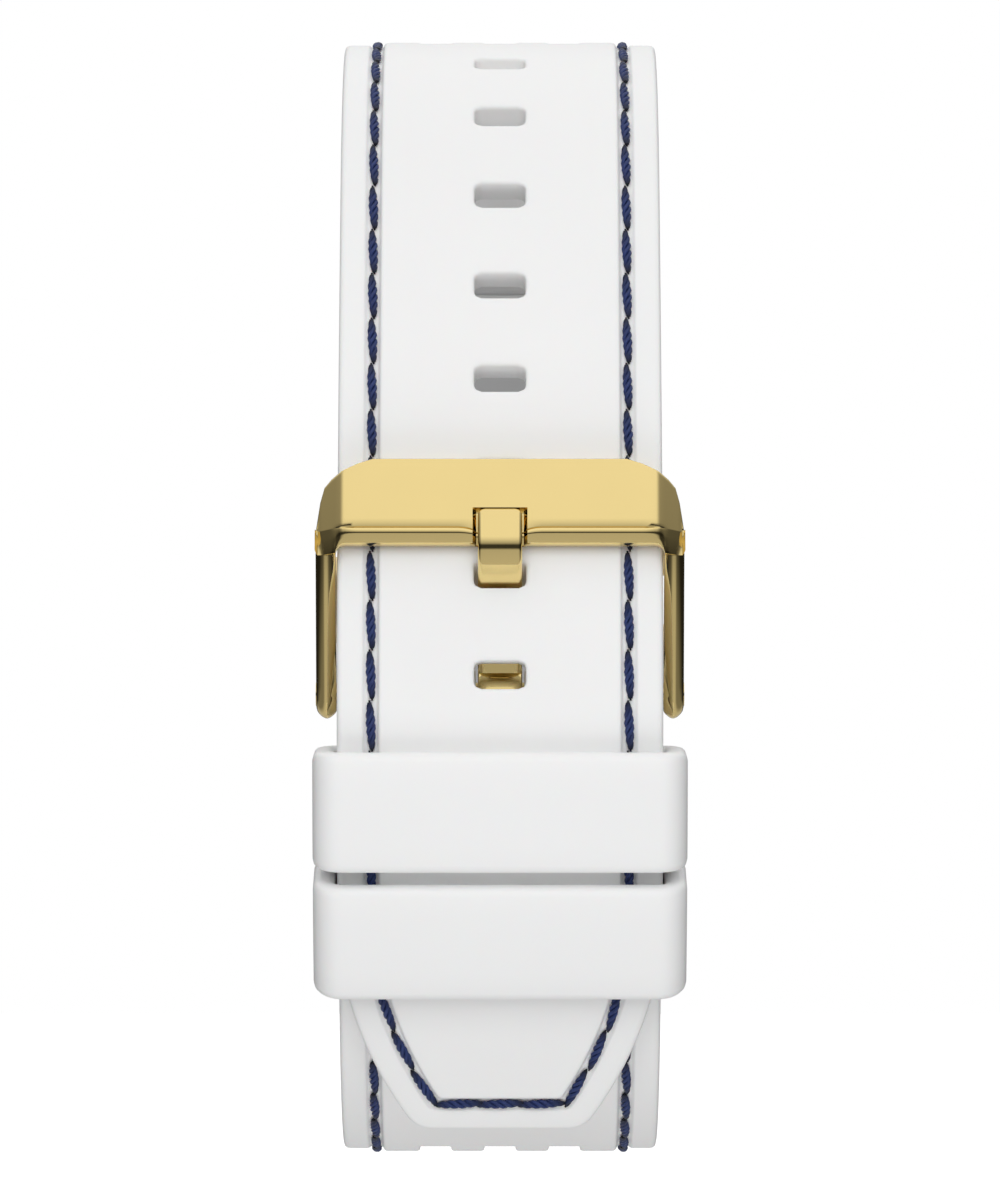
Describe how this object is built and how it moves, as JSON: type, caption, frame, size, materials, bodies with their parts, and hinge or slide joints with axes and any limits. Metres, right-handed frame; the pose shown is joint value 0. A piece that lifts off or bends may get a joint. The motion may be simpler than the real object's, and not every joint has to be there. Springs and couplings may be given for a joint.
{
  "type": "golf gps watch",
  "caption": "Buckled wrist watch with a stitched white silicone strap, gold tang buckle, sliding strap loops and a slim satellite-navigation head with side buttons.",
  "frame": {"origin": "centre of the wrist opening, level with the middle of the head", "axes": "+X through the wrist opening, +Y from the buckle to the display, +Z to the twelve o'clock end of the head"},
  "size_m": [0.0258, 0.0586, 0.0789],
  "materials": {
    "silicone": "matte white, finely textured",
    "keeper_silicone": "matte white, smooth",
    "thread": "waxed blue twisted thread",
    "gold": "polished gold plate",
    "case_polymer": "fine matte white",
    "bezel_metal": "satin gold plate",
    "crystal_glass": "clear, polished",
    "seal": "black elastomer",
    "steel": "machined",
    "contact_gold": "gold plated",
    "display_glass": "dark panel",
    "inner_plastic": "black moulding",
    "circuit_board": "solder mask",
    "chip_resin": "moulded resin",
    "antenna_ceramic": "fired ceramic",
    "battery_foil": "foil pouch"
  },
  "bodies": {
    "head": {"case_body": "case_polymer", "case_back": "case_polymer", "case_back_gasket": "seal", "case_back_screws": "steel", "charging_contacts": "contact_gold", "bezel": "bezel_metal", "crystal": "crystal_glass", "crystal_gasket": "seal", "display_panel": "display_glass", "display_frame": "inner_plastic", "display_flex": "contact_gold", "main_board": "circuit_board", "board_chips": "chip_resin", "gps_antenna": "antenna_ceramic", "battery": "battery_foil", "vibration_motor": "steel", "button_switches": "inner_plastic", "button_seals": "seal", "up_button_spring": "steel", "down_button_spring": "steel", "power_button_spring": "steel"},
    "long_strap_half": {"long_strap": "silicone", "long_strap_stitching": "thread", "upper_bar_tube": "steel", "upper_bar_spring": "steel"},
    "short_strap_half": {"short_strap": "silicone", "short_strap_stitching": "thread", "lower_bar_tube": "steel", "lower_bar_spring": "steel"},
    "buckle": {"buckle_frame": "gold", "buckle_bar": "gold"},
    "buckle_tang": {"tang": "gold"},
    "upper_loop": {"upper_keeper": "keeper_silicone"},
    "lower_loop": {"lower_keeper": "keeper_silicone"},
    "upper_release": {"upper_release_pin": "steel"},
    "lower_release": {"lower_release_pin": "steel"},
    "up_key": {"up_button": "bezel_metal", "up_button_clip": "steel"},
    "down_key": {"down_button": "bezel_metal", "down_button_clip": "steel"},
    "power_key": {"power_button": "bezel_metal", "power_button_clip": "steel"}
  },
  "joints": [
    {"name": "long_strap_pivot", "type": "hinge", "parent": "head", "child": "long_strap_half", "pos_m": [0, 0.0245, 0.026], "axis": [-1, 0, 0], "range_deg": [0, 65], "deforming": ["long_strap", "long_strap_stitching"]},
    {"name": "short_strap_pivot", "type": "hinge", "parent": "head", "child": "short_strap_half", "pos_m": [0, 0.0245, -0.026], "axis": [1, 0, 0], "range_deg": [0, 65]},
    {"name": "buckle_pivot", "type": "hinge", "parent": "short_strap_half", "child": "buckle", "pos_m": [0, -0.02156, -0.0064], "axis": [1, 0, 0], "range_deg": [0, 60]},
    {"name": "tang_pivot", "type": "hinge", "parent": "buckle", "child": "buckle_tang", "pos_m": [0, -0.02156, -0.0064], "axis": [1, 0, 0], "range_deg": [0, 27]},
    {"name": "upper_keeper_slide", "type": "hinge", "parent": "short_strap_half", "child": "upper_loop", "pos_m": [0, 0.0153, -0.0082], "axis": [-1, 0, 0], "range_deg": [-0.5, 2]},
    {"name": "lower_keeper_slide", "type": "hinge", "parent": "short_strap_half", "child": "lower_loop", "pos_m": [0, 0.0153, -0.0082], "axis": [-1, 0, 0], "range_deg": [-7.5, 0.5]},
    {"name": "up_press", "type": "slide", "parent": "head", "child": "up_key", "axis": [-1, 0, 0], "range_m": [0, 0.0006], "stiffness_N_per_m": 1500, "springref_m": -0.0003, "deforming": ["up_button_spring"]},
    {"name": "down_press", "type": "slide", "parent": "head", "child": "down_key", "axis": [-1, 0, 0], "range_m": [0, 0.0006], "stiffness_N_per_m": 1500, "springref_m": -0.0003, "deforming": ["down_button_spring"]},
    {"name": "power_press", "type": "slide", "parent": "head", "child": "power_key", "axis": [1, 0, 0], "range_m": [0, 0.0006], "stiffness_N_per_m": 1500, "springref_m": -0.0003, "deforming": ["power_button_spring"]},
    {"name": "upper_bar_release", "type": "slide", "parent": "long_strap_half", "child": "upper_release", "axis": [-1, 0, 0], "range_m": [0, 0.0012], "stiffness_N_per_m": 800, "springref_m": -0.001, "deforming": ["upper_bar_spring"]},
    {"name": "lower_bar_release", "type": "slide", "parent": "short_strap_half", "child": "lower_release", "axis": [-1, 0, 0], "range_m": [0, 0.0012], "stiffness_N_per_m": 800, "springref_m": -0.001, "deforming": ["lower_bar_spring"]}
  ],
  "couplings": [
    {"joint": "buckle_pivot", "follows": "long_strap_pivot", "ratio": 0.9},
    {"joint": "tang_pivot", "follows": "long_strap_pivot", "ratio": 0.4}
  ]
}
